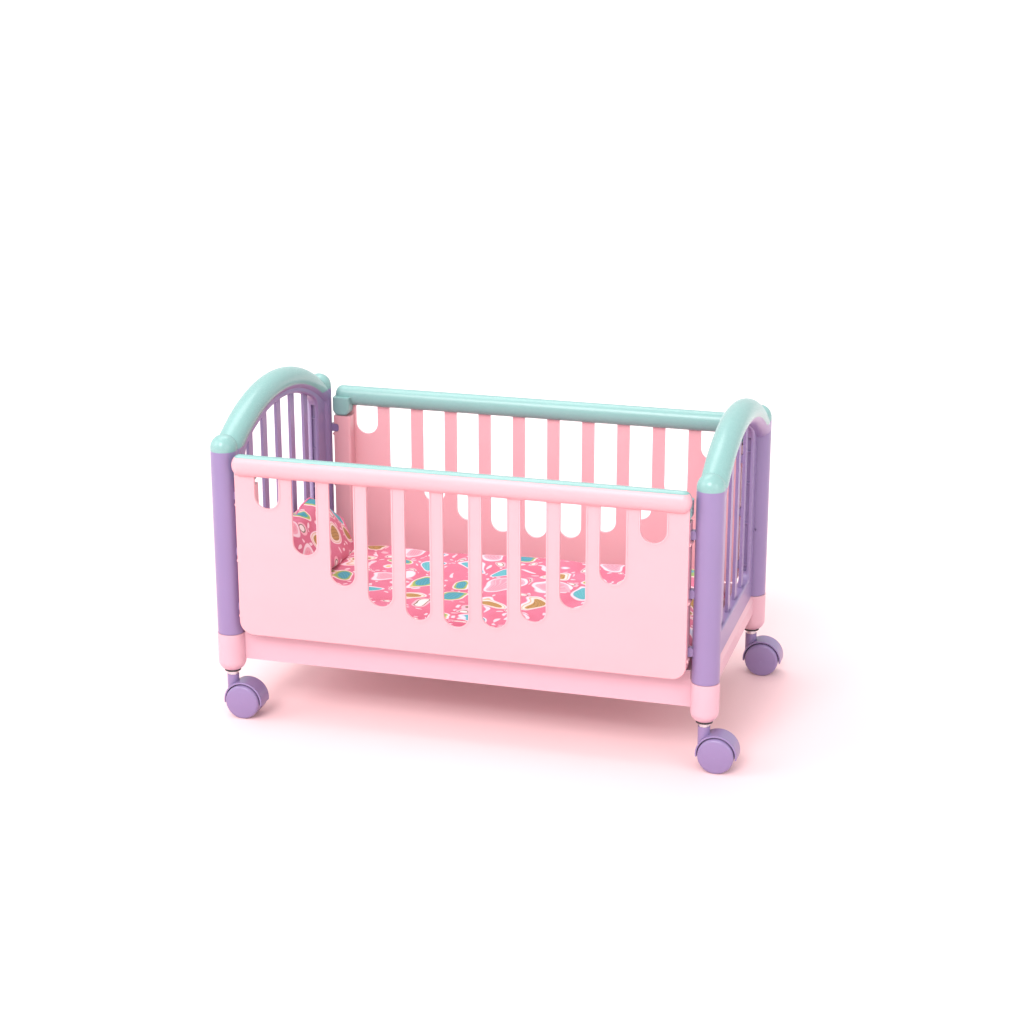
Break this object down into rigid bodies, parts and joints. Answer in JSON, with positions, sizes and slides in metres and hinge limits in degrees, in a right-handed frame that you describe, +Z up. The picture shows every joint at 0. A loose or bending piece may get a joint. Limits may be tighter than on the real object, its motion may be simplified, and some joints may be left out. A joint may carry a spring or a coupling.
{
  "type": "doll cot",
  "caption": "Toy cot on swivel casters, with slatted side panels, arched end frames, a base tray, a mattress and a pillow.",
  "frame": {"origin": "on the floor, under the middle of the four posts", "axes": "+X along the cot towards its foot end, +Y across it towards the back panel, +Z up"},
  "size_m": [0.5382, 0.3078, 0.3299],
  "materials": {
    "lavender_plastic": "semi-gloss moulded",
    "teal_plastic": "semi-gloss moulded",
    "pale_pink_plastic": "semi-gloss moulded",
    "pink_plastic": "semi-gloss moulded",
    "printed_fabric": "printed woven cotton over soft filling",
    "steel": "zinc plated",
    "black_plastic": "matte"
  },
  "bodies": {
    "cot": {"base_tray": "pink_plastic", "head_frame": "lavender_plastic", "foot_frame": "lavender_plastic", "head_arch_cap": "teal_plastic", "foot_arch_cap": "teal_plastic", "front_panel": "pale_pink_plastic", "back_panel": "pale_pink_plastic", "front_rail_cap": "teal_plastic", "back_rail_cap": "teal_plastic", "front_left_bush": "black_plastic", "front_right_bush": "black_plastic", "back_left_bush": "black_plastic", "back_right_bush": "black_plastic", "front_left_stem": "steel", "front_right_stem": "steel", "back_left_stem": "steel", "back_right_stem": "steel"},
    "mattress_body": {"mattress": "printed_fabric"},
    "pillow_body": {"pillow": "printed_fabric"},
    "front_left_swivel": {"front_left_hood": "lavender_plastic", "front_left_axle": "steel"},
    "front_left_outer_disc": {"front_left_wheel_outer": "lavender_plastic"},
    "front_left_inner_disc": {"front_left_wheel_inner": "lavender_plastic"},
    "front_right_swivel": {"front_right_hood": "lavender_plastic", "front_right_axle": "steel"},
    "front_right_outer_disc": {"front_right_wheel_outer": "lavender_plastic"},
    "front_right_inner_disc": {"front_right_wheel_inner": "lavender_plastic"},
    "back_left_swivel": {"back_left_hood": "lavender_plastic", "back_left_axle": "steel"},
    "back_left_outer_disc": {"back_left_wheel_outer": "lavender_plastic"},
    "back_left_inner_disc": {"back_left_wheel_inner": "lavender_plastic"},
    "back_right_swivel": {"back_right_hood": "lavender_plastic", "back_right_axle": "steel"},
    "back_right_outer_disc": {"back_right_wheel_outer": "lavender_plastic"},
    "back_right_inner_disc": {"back_right_wheel_inner": "lavender_plastic"}
  },
  "joints": [
    {"name": "front_left_swivel_turn", "type": "hinge", "parent": "cot", "child": "front_left_swivel", "pos_m": [-0.245, -0.131, 0.0438], "axis": [0, 0, 1], "continuous": true},
    {"name": "front_left_outer_spin", "type": "hinge", "parent": "front_left_swivel", "child": "front_left_outer_disc", "pos_m": [-0.2312, -0.131, 0.0178], "axis": [0, 1, 0], "continuous": true},
    {"name": "front_left_inner_spin", "type": "hinge", "parent": "front_left_swivel", "child": "front_left_inner_disc", "pos_m": [-0.2312, -0.131, 0.0178], "axis": [0, 1, 0], "continuous": true},
    {"name": "front_right_swivel_turn", "type": "hinge", "parent": "cot", "child": "front_right_swivel", "pos_m": [0.245, -0.131, 0.0438], "axis": [0, 0, 1], "continuous": true},
    {"name": "front_right_outer_spin", "type": "hinge", "parent": "front_right_swivel", "child": "front_right_outer_disc", "pos_m": [0.2588, -0.131, 0.0178], "axis": [0, 1, 0], "continuous": true},
    {"name": "front_right_inner_spin", "type": "hinge", "parent": "front_right_swivel", "child": "front_right_inner_disc", "pos_m": [0.2588, -0.131, 0.0178], "axis": [0, 1, 0], "continuous": true},
    {"name": "back_left_swivel_turn", "type": "hinge", "parent": "cot", "child": "back_left_swivel", "pos_m": [-0.245, 0.131, 0.0438], "axis": [0, 0, 1], "continuous": true},
    {"name": "back_left_outer_spin", "type": "hinge", "parent": "back_left_swivel", "child": "back_left_outer_disc", "pos_m": [-0.2312, 0.131, 0.0178], "axis": [0, 1, 0], "continuous": true},
    {"name": "back_left_inner_spin", "type": "hinge", "parent": "back_left_swivel", "child": "back_left_inner_disc", "pos_m": [-0.2312, 0.131, 0.0178], "axis": [0, 1, 0], "continuous": true},
    {"name": "back_right_swivel_turn", "type": "hinge", "parent": "cot", "child": "back_right_swivel", "pos_m": [0.245, 0.131, 0.0438], "axis": [0, 0, 1], "continuous": true},
    {"name": "back_right_outer_spin", "type": "hinge", "parent": "back_right_swivel", "child": "back_right_outer_disc", "pos_m": [0.2588, 0.131, 0.0178], "axis": [0, 1, 0], "continuous": true},
    {"name": "back_right_inner_spin", "type": "hinge", "parent": "back_right_swivel", "child": "back_right_inner_disc", "pos_m": [0.2588, 0.131, 0.0178], "axis": [0, 1, 0], "continuous": true},
    {"name": "mattress_lift", "type": "slide", "parent": "cot", "child": "mattress_body", "axis": [0, 0, 1], "range_m": [0, 0.205]},
    {"name": "pillow_lift", "type": "slide", "parent": "mattress_body", "child": "pillow_body", "axis": [0, 0, 1], "range_m": [0, 0.15]}
  ]
}
